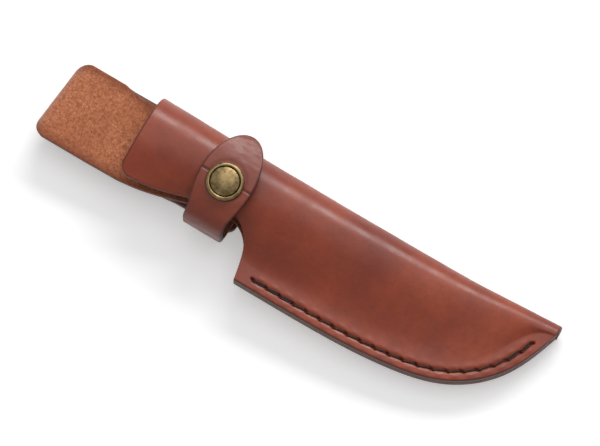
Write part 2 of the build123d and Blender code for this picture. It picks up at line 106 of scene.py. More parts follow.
# ---- strap and snap ------------------------------------------------------
STRAP_X = -30.7
STRAP_HALF_W = 8.45
FLAP_HALF_W = 11.2
FLAP_WIDEST_Y = 4.6
FLAP_TIP_Y = 25.6
FLAP_R = 33.0
BEND_LO_Y = -13.05
BEND_UPPER_R = 7.5
BEND_LOWER_R = 5.5
ANCHOR_END_Y = 13.5
SNAP_Y = 4.6
SNAP_TILT = radians(6.5)
SNAP_STACK = 3.0
SNAP_SINK = 0.35
CAP_D = 15.0
CAP_H = 2.6
SEW_X = (-36.5, -25.0)
SEW_Y = (-3.5, 11.0)
SEW_PITCH = 3.9

EDGE_STEPS = (0.0, 0.07, 0.2, 0.42, 0.75, 1.15)   # rows that round a cut edge
ROUND_R = 0.8
WELT_END_Y = 19.4
GLUE_GAP = 0.04
FAR = 99.0                 # distance to the edge where no edge is near
EDGE_RUN = 222             # about the length of the front's cut edge
TURN_COLS = 6              # columns of the fold that the tongue shares at the mouth
CURL_L = 16.0              # length over which the tongue's upper margin curls flat

# ---- thread --------------------------------------------------------------
THREAD_R = 0.42
THREAD_LANE = 0.38         # half the distance between doubled threads
THREAD_LEAN = 0.32
ROPE_STRANDS = 2
ROPE_TWIST = 3.0
ROPE_SIDES = 7
ROPE_RINGS = 22

# ---- floor, light and camera ---------------------------------------------
FLOOR_HALF = 2500.0
FLOOR_SINK = 0.6
FLOOR_GLOW = 0.34
WORLD_LIGHT = 0.42
AIM = (0.0, 0.0085, 0.0125)
VIEW_AZIMUTH = radians(31.0)
VIEW_HEIGHT = radians(78.5)
VIEW_REACH = 3.0
VIEW_WIDTH = 0.2308
SENSOR_WIDTH = 36.0
# name, place, width, height, power
LAMPS = [("key_softbox", (-0.12, 0.75, 0.62), 0.75, 0.26, 6.5),
         ("overhead", (-0.1, 0.25, 1.2), 1.1, 0.8, 3.2)]


# ---- curves --------------------------------------------------------------
def natural(xs, ys):
    """Natural cubic through points, as a function of x."""
    xs = np.asarray(xs, float)
    ys = np.asarray(ys, float)
    n = len(xs)
    h = np.diff(xs)
    a = np.eye(n)
    b = np.zeros(n)
    for i in range(1, n - 1):
        a[i, i - 1] = h[i - 1]
        a[i, i] = 2 * (h[i - 1] + h[i])
        a[i, i + 1] = h[i]
        b[i] = 6 * ((ys[i + 1] - ys[i]) / h[i] - (ys[i] - ys[i - 1]) / h[i - 1])
    m = np.linalg.solve(a, b)

    def at(x):
        x = np.clip(np.asarray(x, float), xs[0], xs[-1])
        k = np.clip(np.searchsorted(xs, x) - 1, 0, n - 2)
        t0 = x - xs[k]
        t1 = xs[k + 1] - x
        return ((m[k] * t1 ** 3 + m[k + 1] * t0 ** 3) / (6 * h[k])
                + (ys[k] / h[k] - m[k] * h[k] / 6) * t1
                + (ys[k + 1] / h[k] - m[k + 1] * h[k] / 6) * t0)

    return at


def smooth_line(points, count=400):
    """Dense points of a smooth plan curve through a few points."""
    points = np.asarray(points, float)
    t = np.concatenate([[0], np.cumsum(np.hypot(*np.diff(points, axis=0).T))])
    s = np.linspace(0, t[-1], count)
    return np.stack([natural(t, points[:, 0])(s), natural(t, points[:, 1])(s)], 1)


def run_of(line):
    return np.concatenate([[0], np.cumsum(np.hypot(*np.diff(line, axis=0).T))])


def along(line, s):
    """Points of a polyline at given distances along it."""
    run = run_of(line)
    return np.stack([np.interp(s, run, line[:, 0]), np.interp(s, run, line[:, 1])], 1)


def inset(line, amount):
    """The polyline moved sideways to the left."""
    d = np.gradient(line, axis=0)
    d /= np.hypot(*d.T)[:, None]
    return line + amount * np.stack([-d[:, 1], d[:, 0]], 1)


def ease(t):
    t = np.clip(t, 0, 1)
    return t * t * (3 - 2 * t)


seam = smooth_line(SEAM_LINE)
grip = smooth_line(GRIP_LINE)
stitch_line = inset(seam, STITCH_INSET)
seam_inner = inset(seam, SEAM_W)


def stitch_holes():
    run = run_of(stitch_line)
    dues = np.arange(STITCH_FIRST, run[-1], STITCH_PITCH)[:-1]
    return along(stitch_line, dues)


# ---- the pouch's surface -------------------------------------------------
def section(x, spine_y, depth, back_r, knee_h, crown, ramp, knee_y):
    """Grain side at x from the start of the back's arc to past the front's edge."""
    front_r = depth - back_r
    top_y = spine_y - front_r
    a = np.radians(np.linspace(-90, 0, 25))
    low = np.stack([spine_y - back_r + back_r * np.cos(a), back_r + back_r * np.sin(a)], 1)
    a = np.radians(np.linspace(0, 90, 41))
    high = np.stack([top_y + front_r * np.cos(a), back_r + front_r * np.sin(a)], 1)
    t = np.linspace(0, 1, 90)[:, None]
    p = np.array([(top_y, depth), (top_y - crown, depth), (knee_y + ramp, knee_h),
                  (knee_y, knee_h)])
    fall = ((1 - t) ** 3 * p[0] + 3 * (1 - t) ** 2 * t * p[1]
            + 3 * (1 - t) * t * t * p[2] + t ** 3 * p[3])
    line = np.concatenate([low, high[1:], fall[1:], [(knee_y - 60, knee_h)]])
    return line + (0, PANEL_Z)


TABLE_DX = 0.5
TABLE_DS = 0.25
TABLE_X = np.arange(MOUTH_X, TIP_X + TABLE_DX, TABLE_DX)
TABLE_S = np.arange(0, 100, TABLE_DS)


def pouch_tables():
    """y and z over x and distance round the section, and where the sections turn."""
    xs = [row[0] for row in STATIONS]
    columns = []
    for k in range(1, 8):
        values = []
        for row in STATIONS:
            value = row[k]
            if value is None:
                level = row[1] - (row[2] - row[3]) - 1.0
                value = min(float(np.interp(row[0], seam_inner[:, 0], seam_inner[:, 1])), level)
            values.append(value)
        columns.append(natural(xs, values))
    ys, zs = [], []
    for x in TABLE_X:
        line = section(x, *(float(c(x)) for c in columns))
        run = run_of(line)
        ys.append(np.interp(TABLE_S, run, line[:, 0]))
        zs.append(np.interp(TABLE_S, run, line[:, 1]))
    return np.array(ys), np.array(zs), columns


TABLE_Y, TABLE_Z, PARAMS = pouch_tables()
spine_at, depth_at, back_r_at = PARAMS[0], PARAMS[1], PARAMS[2]


def lookup(table, x, s):
    """Bilinear value of a table over x and s."""
    i = np.clip((x - TABLE_X[0]) / TABLE_DX, 0, len(TABLE_X) - 1.001)
    j = np.clip(s / TABLE_DS, 0, len(TABLE_S) - 1.001)
    i0 = i.astype(int)
    j0 = j.astype(int)
    u = i - i0
    v = j - j0
    return ((table[i0, j0] * (1 - v) + table[i0, j0 + 1] * v) * (1 - u)
            + (table[i0 + 1, j0] * (1 - v) + table[i0 + 1, j0 + 1] * v) * u)


def turn_length(x):
    """Distance round the section to the outermost point of the fold."""
    return back_r_at(x) * pi / 2


def reach_to(x, y):
    """Distance round the section at x to where the front is over y."""
    s = turn_length(x) + np.arange(0, 85, 0.1)
    ys = lookup(TABLE_Y, np.full(s.shape, x), s)
    return float(np.interp(-y, -ys, s))


def front_edge():
    """Cut edge of the front: mouth corner, grip, notch, seam and tip."""
    a = np.radians(np.linspace(180, 270, 12))
    cy = -12.0 + MOUTH_CORNER
    corner = np.stack([MOUTH_X + MOUTH_CORNER + MOUTH_CORNER * np.cos(a),
                       cy + MOUTH_CORNER * np.sin(a)], 1)
    return np.concatenate([corner, grip[1:], seam[1:]])


def back_edge():
    """Cut edge of the back: on from the tongue, then the grip and the seam."""
    lead = smooth_line([(MOUTH_X, -13.2), (-60, -12.0), (-52, -10.2)], 60)
    rest = grip[grip[:, 0] > -51.0]
    return np.concatenate([lead, rest, seam[1:]])


def row_fractions():
    """Where the rows from spine to edge stand, as fractions of the whole."""
    body = np.linspace(0, 1, 640)
    near = np.array(EDGE_STEPS[1:]) / EDGE_RUN
    return np.unique(np.concatenate([body, near, 1 - near]))


def column_fractions(length, fine=None):
    """Fractions across a sheet with rows close together at the cut edge."""
    near = 1 - np.array(EDGE_STEPS[:-1]) / length
    count = int(length / 0.62)
    body = np.linspace(0, 1 - EDGE_STEPS[-1] / length, count)
    parts = [body, near]
    if fine:
        parts.append(1 - np.arange(fine[0], fine[1], 0.22) / length)
    f = np.unique(np.concatenate(parts))
    keep = np.concatenate([[True], np.diff(f) > 0.03 / length])
    return f[keep]


# ---- mesh making ---------------------------------------------------------
def grid_faces(rows, cols, start=0, flip=False):
    i, j = np.meshgrid(np.arange(rows - 1), np.arange(cols - 1), indexing="ij")
    a = (start + i * cols + j).ravel()
    quad = np.stack([a, a + 1, a + cols + 1, a + cols], 1)
    return quad[:, ::-1] if flip else quad


def weld(points, faces):
    """Joins points at equal places and drops faces that shrink to nothing."""
    places, back = np.unique(points, axis=0, return_inverse=True)
    first = np.zeros(len(places), int)
    first[back.ravel()[::-1]] = np.arange(len(points))[::-1]
    return places, back.ravel()[faces], first


def vertex_normals(points, quads):
    a = points[quads[:, 2]] - points[quads[:, 0]]
    b = points[quads[:, 3]] - points[quads[:, 1]]
    n = np.cross(a, b)
    out = np.zeros_like(points)
    for k in range(4):
        np.add.at(out, quads[:, k], n)
    return out / np.maximum(np.linalg.norm(out, axis=1), 1e-9)[:, None]


def rounding(d, radius):
    inside = np.clip(radius - d, 0, radius)
    return radius - np.sqrt(np.maximum(radius ** 2 - inside ** 2, 0))


def make_mesh(name, points, faces, kinds, layers):
    """Mesh object from points in millimetres, with material numbers and layers."""
    mesh = bpy.data.meshes.new(name)
    mesh.from_pydata((points * MM).tolist(), [], [tuple(int(k) for k in f) for f in faces])
    mesh.polygons.foreach_set("material_index", np.asarray(kinds, np.int32))
    mesh.polygons.foreach_set("use_smooth", np.ones(len(mesh.polygons), bool))
    for key, values in layers.items():
        layer = mesh.attributes.new(key, "FLOAT", "POINT")
        layer.data.foreach_set("value", np.asarray(values, np.float32))
    mesh.validate()
    mesh.update()
    obj = bpy.data.objects.new(name, mesh)
    bpy.context.scene.collection.objects.link(obj)
    return obj


def thick_sheet(name, base, quads, thick, edge, shift, layers, round_in=0.6):
    """Leather sheet: grain side on base, flesh side thick below it, cut edges rounded."""
    normal = vertex_normals(base, quads)
    n = len(base)
    outer = base + normal * (shift - rounding(edge, ROUND_R))[:, None]
    inner = base - normal * (thick - rounding(edge, round_in))[:, None]
    edges = np.concatenate([quads[:, [0, 1]], quads[:, [1, 2]], quads[:, [2, 3]], quads[:, [3, 0]]])
    key = np.sort(edges, axis=1)
    order = np.lexsort((key[:, 1], key[:, 0]))
    same = np.all(key[order][1:] == key[order][:-1], axis=1)
    lone = np.ones(len(edges), bool)
    lone[order[1:][same]] = False
    lone[order[:-1][same]] = False
    rim = edges[lone]
    sides = np.stack([rim[:, 1], rim[:, 0], rim[:, 0] + n, rim[:, 1] + n], 1)
    faces = np.concatenate([quads, quads[:, ::-1] + n, sides])
    kinds = np.concatenate([np.zeros(len(quads)), np.ones(len(quads)), np.full(len(sides), 2)])
    doubled = {k: np.concatenate([v, v]) for k, v in layers.items()}
    doubled["flesh"] = np.concatenate([np.zeros(n), np.ones(n)])
    return make_mesh(name, np.concatenate([outer, inner]), faces, kinds, doubled)


def wander(points, size, seed):
    """Smooth random height, about -1 to 1, at points in millimetres."""
    shift = Vector((seed * 13.7, seed * 7.1, seed * 3.3))
    return np.array([noise.noise(Vector(p) / size + shift) for p in points.tolist()])


# ---- the folded blank ----------------------------------------------------
def line_distance(points, line):
    """Distance from plan points to a polyline, and the run along it."""
    best = np.full(len(points), 1e9)
    where = np.zeros(len(points))
    run = run_of(line)
    for k in range(0, len(line) - 1, 4):
        a = line[k]
        b = line[min(k + 4, len(line) - 1)]
        ab = b - a
        t = np.clip(((points - a) @ ab) / (ab @ ab), 0, 1)
        d = np.hypot(*(points - a - t[:, None] * ab).T)
        near = d < best
        best[near] = d[near]
        where[near] = run[k] + t[near] * np.hypot(*ab)
    return best, where


def seam_relief(points):
    """Height change that the stitching makes in a face of the seam, and painted shade in its groove
    and holes.
    """
    lift = np.zeros(len(points))
    dark = np.zeros(len(points))
    plan = points[:, :2]
    near = plan[:, 1] < 22
    d, run = line_distance(plan[near], stitch_line)
    holes = stitch_holes()
    first = STITCH_FIRST - 0.8
    last = STITCH_FIRST + STITCH_PITCH * (len(holes) - 1) + 0.8
    inside = ease((run - first) / 1.0) * ease((last - run) / 1.0)
    phase = np.cos((run - STITCH_FIRST) / STITCH_PITCH * 2 * pi)
    groove = -0.42 * np.exp(-(d / 0.75) ** 2) * inside
    swell = 0.22 * np.exp(-((d - 1.9) / 0.85) ** 2) * inside * (0.65 - 0.5 * phase)
    part = groove + swell
    # painted shade along the stitch groove; each slit below adds painted shade, near black, in its
    # hole
    shade = 0.35 * np.exp(-(d / 0.7) ** 2) * inside
    for x, y in holes:
        k = np.argmin(np.hypot(stitch_line[:, 0] - x, stitch_line[:, 1] - y))
        way = stitch_line[min(k + 1, len(stitch_line) - 1)] - stitch_line[k - 1]
        angle = np.arctan2(way[1], way[0]) - radians(24)
        rel = plan[near] - (x, y)
        u = rel[:, 0] * cos(angle) + rel[:, 1] * sin(angle)
        v = -rel[:, 0] * sin(angle) + rel[:, 1] * cos(angle)
        slit = np.exp(-(u / 1.15) ** 4 - (v / 0.48) ** 2)
        part = np.minimum(part, part * (1 - slit) - 1.25 * slit)
        shade = np.maximum(shade, slit)
    lift[near] = part
    dark[near] = shade
    return lift, dark


def front_rows(f_row):
    """Points of the spine's fold and the front, and their distance to the cut edge."""
    front = front_edge()
    front_at = along(front, f_row * run_of(front)[-1])
    x_spine = MOUTH_X + (TIP_X - MOUTH_X) * f_row
    arc_f = np.linspace(0, 1, 14)[:-1]
    f = np.concatenate([np.zeros(len(arc_f)), column_fractions(48.0, fine=(2.2, 5.6))])
    px = np.zeros((len(f_row), len(f)))
    ps = np.zeros_like(px)
    gap = np.zeros_like(px)
    for i, (xe, ye) in enumerate(front_at):
        span = max(reach_to(xe, ye) - turn_length(xe), 1.5)
        px[i] = x_spine[i] + (xe - x_spine[i]) * f
        turn = turn_length(px[i])
        ps[i] = turn + f * span
        ps[i, :len(arc_f)] = turn[:len(arc_f)] * arc_f
        gap[i] = np.where(f > 0, (1 - f) * span, FAR)
    points = np.stack([px, lookup(TABLE_Y, px, ps), lookup(TABLE_Z, px, ps)], 2)
    points[:, 0, 2] = PANEL_Z
    return points, np.minimum(gap, np.minimum(px - MOUTH_X, TIP_X - px))


def back_rows(f_row, start):
    """Points of the flat back, on from the fold's start, and their distance to the edge."""
    back = back_edge()
    back_at = along(back, f_row * run_of(back)[-1])
    f = column_fractions(40.0, fine=(2.4, 5.4))
    x = start[:, None, 0] + (back_at[:, None, 0] - start[:, None, 0]) * f
    y = start[:, None, 1] + (back_at[:, None, 1] - start[:, None, 1]) * f
    points = np.stack([x, y, np.full(x.shape, PANEL_Z)], 2)
    points[:, 0, :] = start
    width = np.hypot(back_at[:, 0] - start[:, 0], back_at[:, 1] - start[:, 1])
    return points, np.minimum((1 - f)[None, :] * width[:, None], TIP_X - x)


def corner_half(half, radius, left):
    """Half width of a strip with rounded corners, at a distance from its end."""
    return half - radius + sqrt(radius ** 2 - max(radius - left, 0) ** 2)


def loop_shares(count):
    """Where the columns stand across the tongue and loop, from -1 to 1."""
    half = TONGUE_MID_Y - TONGUE_LO_Y
    near = np.array(EDGE_STEPS)
    v = np.linspace(-1, 1, count)
    v[:len(near)] = -1 + near / half
    v[-len(near):] = 1 - near[::-1] / half
    v[len(near) - 1:1 - len(near)] = np.linspace(v[len(near) - 1], v[-len(near)],
                                                 count - 2 * len(near) + 2)
    return v


def loop_rows(first, first_gap):
    """Points of the tongue, fold, belt loop and tail, on from the row at the mouth."""
    wide = TONGUE_MID_Y - TONGUE_LO_Y
    v = loop_shares(len(first))
    laid = [first]
    gaps = [first_gap]

    def lay(x_of, z, half, from_end=FAR):
        y = TONGUE_MID_Y + half * v
        skew = (y - TONGUE_MID_Y) * LOOP_SLANT
        laid.append(np.stack([x_of(skew), y, np.full(len(v), z)], 1))
        gaps.append(np.minimum((1 - np.abs(v)) * half, from_end))

    for t in np.linspace(0, 1, 56)[1:-1]:
        lay(lambda skew: MOUTH_X + (FOLD_X + skew - MOUTH_X) * t, PANEL_Z, wide)
    for phi in np.linspace(0, pi, 44):
        half = corner_half(wide, TONGUE_CORNER, MID_Z * (1 - sin(phi)))
        if phi >= pi / 2:
            core = wide - TONGUE_CORNER
            half = core + (TAIL_HALF_W - core) * float(ease((phi - pi / 2) / 0.6))
        lay(lambda skew: FOLD_X + skew - FOLD_R * sin(phi), MID_Z + FOLD_R * cos(phi), half)
    for t in np.linspace(0, 1, 60)[1:]:
        lay(lambda skew: FOLD_X + skew + (BELT_END_X - FOLD_X - skew) * t, LEATHER, TAIL_HALF_W)
    for t in np.linspace(0, 1, 18)[1:]:
        x = BELT_END_X + TAIL_RISE_L * (3 * (1 - t) ** 2 * t * 0.45 + 3 * (1 - t) * t * t * 0.55
                                        + t ** 3)
        z = LEATHER + (ANCHOR_Z - LEATHER) * (3 * (1 - t) * t * t + t ** 3)
        lay(lambda skew: np.full(len(v), x), z, TAIL_HALF_W)
    near = np.array(EDGE_STEPS)
    tail = np.linspace(BELT_END_X + TAIL_RISE_L, TAIL_END_X - 1.2, 34)[1:]
    for x in np.concatenate([tail, TAIL_END_X - near[::-1][1:]]):
        left = TAIL_END_X - x
        lay(lambda skew: np.full(len(v), x), ANCHOR_Z,
            corner_half(TAIL_HALF_W, TAIL_CORNER, left), left)
    points = np.array(laid)
    flat_part = points[:, :, 2] > PANEL_Z - 0.01
    hold = np.where(flat_part, 1 - ease((MOUTH_X - points[:, :, 0]) / CURL_L), 0.0)
    points[:, :, 1:] += hold[:, :, None] * (first[None, :, 1:] - points[:, :, 1:])
    points[0] = first
    return points, np.array(gaps)


def blank():
    """The pouch, tongue, belt loop and tail, all one folded sheet."""
    f_row = row_fractions()
    front, front_gap = front_rows(f_row)
    back, back_gap = back_rows(f_row, front[:, 0, :])
    first = np.concatenate([back[0, ::-1], front[0, 1:TURN_COLS + 1]])
    first_gap = np.full(len(first), FAR)
    first_gap[:back.shape[1]] = back_gap[0, ::-1]
    loop, loop_gap = loop_rows(first, first_gap)
    counts = [front_gap.size, back_gap.size, loop_gap.size]
    points = np.concatenate([front.reshape(-1, 3), back.reshape(-1, 3), loop.reshape(-1, 3)])
    edges = np.concatenate([front_gap.ravel(), back_gap.ravel(), loop_gap.ravel()])
    zone = np.repeat((0.0, 1.0, 2.0), counts)
    faces = np.concatenate([grid_faces(*front_gap.shape),
                            grid_faces(*back_gap.shape, counts[0], flip=True),
                            grid_faces(*loop_gap.shape, counts[0] + counts[1], flip=True)])
    points, faces, pick = weld(points, faces)
    edges = edges[pick]
    zone = zone[pick]
    normal = vertex_normals(points, faces)
    front_side = ease((normal[:, 2] - 0.5) / 0.3) * (zone == 0)
    back_side = (zone == 1).astype(float)
    relief, shade = seam_relief(points)
    soft = 0.16 * wander(points, 22, 1) + 0.05 * wander(points, 6, 2)
    calm = ease((edges - 0.5) / 5) * np.where(zone == 0, 1.0, 0.25)
    lift = relief * front_side + relief * back_side * 0.8 + soft * calm
    # dark: painted shade in the stitch groove and holes
    layers = {"dark": shade * front_side + shade * back_side,
              "edge": np.clip(edges, 0, 20), "zone": zone}
    return thick_sheet("sheath_leather", points, faces, LEATHER, edges, lift, layers)


def welt():
    """The filler strip between front and back along the seam."""
    s = np.linspace(0, 1, 420)
    outer = along(seam, s * run_of(seam)[-1])
    inner = along(seam_inner, s * run_of(seam_inner)[-1])
    f = np.array([0, 0.02, 0.05, 0.12, 0.3, 0.6, 1.0])
    plan = outer[:, None, :] * (1 - f)[None, :, None] + inner[:, None, :] * f[None, :, None]
    plan = plan[plan[:, :, 1].max(axis=1) < WELT_END_Y]
    z = SEAM_TOP_Z - LEATHER - GLUE_GAP
    pts = np.concatenate([plan, np.full(plan.shape[:2] + (1,), z)], 2)
    faces = grid_faces(pts.shape[0], pts.shape[1])
    base = pts.reshape(-1, 3)
    flip = vertex_normals(base, faces)[:, 2].mean() < 0
    faces = faces[:, ::-1] if flip else faces
    edge = np.repeat((f * SEAM_W)[None, :], pts.shape[0], 0).ravel()
    layers = {"dark": np.zeros(len(base)), "edge": edge, "zone": np.zeros(len(base))}
    return thick_sheet("welt_strip", base, faces, WELT_T - 2 * GLUE_GAP, edge,
                       np.zeros(len(base)), layers, round_in=0.5)


# ---- strap ---------------------------------------------------------------
cap_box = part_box("snap_cap")
CAP_BASE = SNAP_STACK + STRAP_T - SNAP_SINK
SEAT_Z = cap_box[1].z / MM - (CAP_BASE + CAP_H) * cos(SNAP_TILT)
arc_lift = SNAP_STACK + STRAP_T / 2 - FLAP_R
ARC_Y = SNAP_Y - arc_lift * sin(SNAP_TILT)
ARC_Z = SEAT_Z + arc_lift * cos(SNAP_TILT)
JOIN = asin((BEND_LO_Y + BEND_UPPER_R - ARC_Y) / (FLAP_R - BEND_UPPER_R))
UPPER = (BEND_LO_Y + BEND_UPPER_R, ARC_Z + (FLAP_R - BEND_UPPER_R) * cos(JOIN))
LOWER = (BEND_LO_Y + BEND_LOWER_R, ANCHOR_Z + STRAP_T / 2 + BEND_LOWER_R)


def strap():
    """One strap from its sewn end round the bend to the rounded tip."""
    half_t = STRAP_T / 2
    rows = []

    def add(y, z, half, turn, left=99.0):
        rows.append((y, z, half, turn, left))

    def turn_rows(centre, radius, start, end, step):
        count = max(int(abs(end - start) * radius / step), 2)
        for a in np.linspace(start, end, count)[:-1]:
            add(centre[0] + radius * sin(a), centre[1] + radius * cos(a), STRAP_HALF_W, a)

    for d in EDGE_STEPS:
        add(ANCHOR_END_Y - d, ANCHOR_Z, STRAP_HALF_W, -pi, d)
    for y in np.linspace(ANCHOR_END_Y - 1.8, LOWER[0], 34)[:-1]:
        add(y, ANCHOR_Z, STRAP_HALF_W, -pi)
    turn_rows(LOWER, BEND_LOWER_R + half_t, -pi, -pi / 2, 0.5)
    for z in np.linspace(LOWER[1], UPPER[1], 14)[:-1]:
        add(LOWER[0] - BEND_LOWER_R - half_t, z, STRAP_HALF_W, -pi / 2)
    turn_rows(UPPER, BEND_UPPER_R + half_t, -pi / 2, JOIN, 0.5)
    radius = FLAP_R + half_t
    hinge_y = ARC_Y + radius * sin(JOIN)
    for y in np.linspace(hinge_y, FLAP_WIDEST_Y, 32)[:-1]:
        t = float((y - hinge_y) / (FLAP_WIDEST_Y - hinge_y))
        half = STRAP_HALF_W + (FLAP_HALF_W - STRAP_HALF_W) * (t * (2 - t) * 0.75 + ease(t) * 0.25)
        a = asin((y - ARC_Y) / radius)
        add(y, ARC_Z + radius * cos(a), half, a)
    head = FLAP_TIP_Y - FLAP_WIDEST_Y
    for q in np.radians(np.concatenate([np.linspace(0, 78, 52), np.linspace(79.5, 88, 9)])):
        y = FLAP_WIDEST_Y + head * sin(q)
        a = asin((y - ARC_Y) / radius)
        add(y, ARC_Z + radius * cos(a), FLAP_HALF_W * cos(q), a, -q)
    across = 44
    near = np.array(EDGE_STEPS) / STRAP_HALF_W
    core = np.linspace(-1 + near[-1], 1 - near[-1], across)
    v = np.concatenate([-1 + near[:-1], core, (1 - near[:-1])[::-1]])
    pts = np.zeros((len(rows), len(v), 3))
    edge = np.zeros((len(rows), len(v)))
    for i, (y, z, half, _, left) in enumerate(rows):
        pts[i] = np.stack([STRAP_X + half * v, np.full(len(v), y), np.full(len(v), z)], 1)
        if left < 0 or (left == 0 and half < STRAP_HALF_W):
            q = -left
            rho = np.sqrt((v * cos(q)) ** 2 + sin(q) ** 2)
            edge[i] = (1 - rho) * (FLAP_HALF_W + (head - FLAP_HALF_W) * sin(q) ** 2)
        else:
            edge[i] = np.minimum((1 - np.abs(v)) * half, left)
    base = pts.reshape(-1, 3)
    edge = edge.ravel()
    faces = grid_faces(len(rows), len(v))
    turned = vertex_normals(base, faces)
    if turned[np.argmax(base[:, 2]), 2] < 0:
        faces = faces[:, ::-1]
    upper = ease((base[:, 1] - 9.0) / 6.0) * (base[:, 2] > 20)
    web = ease((-8.0 - base[:, 1]) / 4.0)
    lines = base * np.array([0.45, 1.0, 1.0])
    lift = (0.16 * wander(lines, 1.7, 3) + 0.12 * wander(base, 3.6, 4)) * upper * 0.8
    lift += 0.05 * wander(base, 5, 5) + 0.05 * wander(base * np.array([0.3, 1, 1]), 2.2, 6) * web
    ring = np.hypot(base[:, 0] - STRAP_X, base[:, 1] - SNAP_Y)
    on_top = (base[:, 2] > 20)
    lift -= 0.30 * np.exp(-((ring - 7.4) / 0.9) ** 2) * on_top
    lift *= ease((edge - 0.1) / 1.6)
    layers = {"dark": np.zeros(len(base)), "edge": edge, "zone": np.full(len(base), 3.0)}
    return thick_sheet("strap_leather", base, faces, STRAP_T, edge, lift, layers, round_in=0.5)


# ---- thread --------------------------------------------------------------
def rope(a, b):
    """Twisted strands from a to b."""
    points, faces = [], []
    a = np.array(a, float)
    b = np.array(b, float)
    way = (b - a) / np.linalg.norm(b - a)
    side = np.cross(way, (0, 0, 1.0))
    side /= np.linalg.norm(side)
    up = np.cross(side, way)
    for k in range(ROPE_STRANDS):
        start = len(points)
        for i in range(ROPE_RINGS):
            t = i / (ROPE_RINGS - 1)
            turn = 2 * pi * (ROPE_TWIST * t + k / ROPE_STRANDS)
            mid = a + (b - a) * t + (side * cos(turn) + up * sin(turn)) * THREAD_R * 0.5
            for j in range(ROPE_SIDES):
                w = 2 * pi * j / ROPE_SIDES
                points.append(mid + (side * cos(w) + up * sin(w)) * THREAD_R * 0.62)
        for i in range(ROPE_RINGS - 1):
            for j in range(ROPE_SIDES):
                p = start + i * ROPE_SIDES + j
                q = start + i * ROPE_SIDES + (j + 1) % ROPE_SIDES
                faces.append((p, q, q + ROPE_SIDES, p + ROPE_SIDES))
        end = start + (ROPE_RINGS - 1) * ROPE_SIDES
        faces.append(tuple(start + j for j in reversed(range(ROPE_SIDES))))
        faces.append(tuple(end + j for j in range(ROPE_SIDES)))
    return points, faces


def stitches(name, spots, level, up, sunk, closed=False, doubled=()):
    """A row of stitches, each a short twisted rope that dips into its two holes."""
    points, faces = [], []
    ends = list(range(1, len(spots))) + ([0] if closed else [])
    for i, k in enumerate(ends):
        p, q = np.array(spots[i]), np.array(spots[k])
        d = (q - p) / np.hypot(*(q - p))
        n = np.array([-d[1], d[0]])
        lanes = (THREAD_LANE, -THREAD_LANE) if i in doubled else (0.0,)
        for lane in lanes:
            a = (*(p + d * 0.35 + n * (lane - THREAD_LEAN)), level - up * sunk)
            b = (*(q - d * 0.35 + n * (lane + THREAD_LEAN)), level - up * sunk)
            pts, fs = rope(a, b)
            base = len(points)
            for j, point in enumerate(pts):
                t = (j // ROPE_SIDES % ROPE_RINGS) / (ROPE_RINGS - 1)
                rise = up * (sunk + 0.02) * (1 - (2 * t - 1) ** 6)
                points.append(point + np.array([0, 0, rise]))
            faces += [tuple(base + m for m in f) for f in fs]
    return make_mesh(name, np.array(points), faces, np.zeros(len(faces)), {})


def sew_spots():
    (xa, xb), (ya, yb) = SEW_X, SEW_Y
    across = round((xb - xa) / SEW_PITCH)
    up = round((yb - ya) / SEW_PITCH)
    spots = [(xa + (xb - xa) * i / across, ya) for i in range(across)]
    spots += [(xb, ya + (yb - ya) * i / up) for i in range(up)]
    spots += [(xb - (xb - xa) * i / across, yb) for i in range(across)]
    spots += [(xa, yb - (yb - ya) * i / up) for i in range(up)]
    return spots


# ---- snap cap ------------------------------------------------------------
def snap_cap():
    """Turned cap: rolled rim, ring groove and a low dome."""
    rim = CAP_D / 2
    top = CAP_BASE + CAP_H
    profile = [(rim - 0.55, CAP_BASE - 0.05), (rim - 0.12, CAP_BASE + 0.15),
               (rim, CAP_BASE + 0.55), (rim - 0.06, CAP_BASE + 0.9), (rim - 0.3, CAP_BASE + 1.25),
               (rim - 0.7, CAP_BASE + 1.5), (rim - 1.15, CAP_BASE + 1.56),
               (rim - 1.42, CAP_BASE + 1.48), (rim - 1.58, CAP_BASE + 1.2),
               (rim - 1.7, CAP_BASE + 1.12), (rim - 1.82, CAP_BASE + 1.22),
               (rim - 1.98, CAP_BASE + 1.5)]
    dome_r = rim - 2.1
    rise = top - CAP_BASE - 1.55
    for t in np.linspace(0, 1, 12):
        profile.append((dome_r * (1 - t), CAP_BASE + 1.55 + rise * (1 - (1 - t) ** 2.2)))
    profile = np.array(profile)
    profile[-1, 0] = 0.02
    turns = 128
    points = []
    for r, h in profile:
        for k in range(turns):
            a = 2 * pi * k / turns
            points.append((r * cos(a), r * sin(a), h))
    points = np.array(points)
    tilt = np.array([[1, 0, 0], [0, cos(SNAP_TILT), -sin(SNAP_TILT)],
                     [0, sin(SNAP_TILT), cos(SNAP_TILT)]])
    points = points @ tilt.T + (STRAP_X, SNAP_Y, SEAT_Z)
    faces = []
    for i in range(len(profile) - 1):
        for k in range(turns):
            m = (k + 1) % turns
            faces.append((i * turns + k, i * turns + m, (i + 1) * turns + m, (i + 1) * turns + k))
    faces.append(tuple(reversed(range(turns))))
    faces.append(tuple((len(profile) - 1) * turns + k for k in range(turns)))
    radius = np.repeat(profile[:, 0], turns)
    return make_mesh("snap_cap_brass", points, faces, np.zeros(len(faces)), {"radius": radius})


# ---- materials -----------------------------------------------------------
def srgb(r, g, b):
    return tuple((c / 255 / 12.92 if c / 255 <= 0.04045 else ((c / 255 + 0.055) / 1.055) ** 2.4)
                 for c in (r, g, b)) + (1.0,)


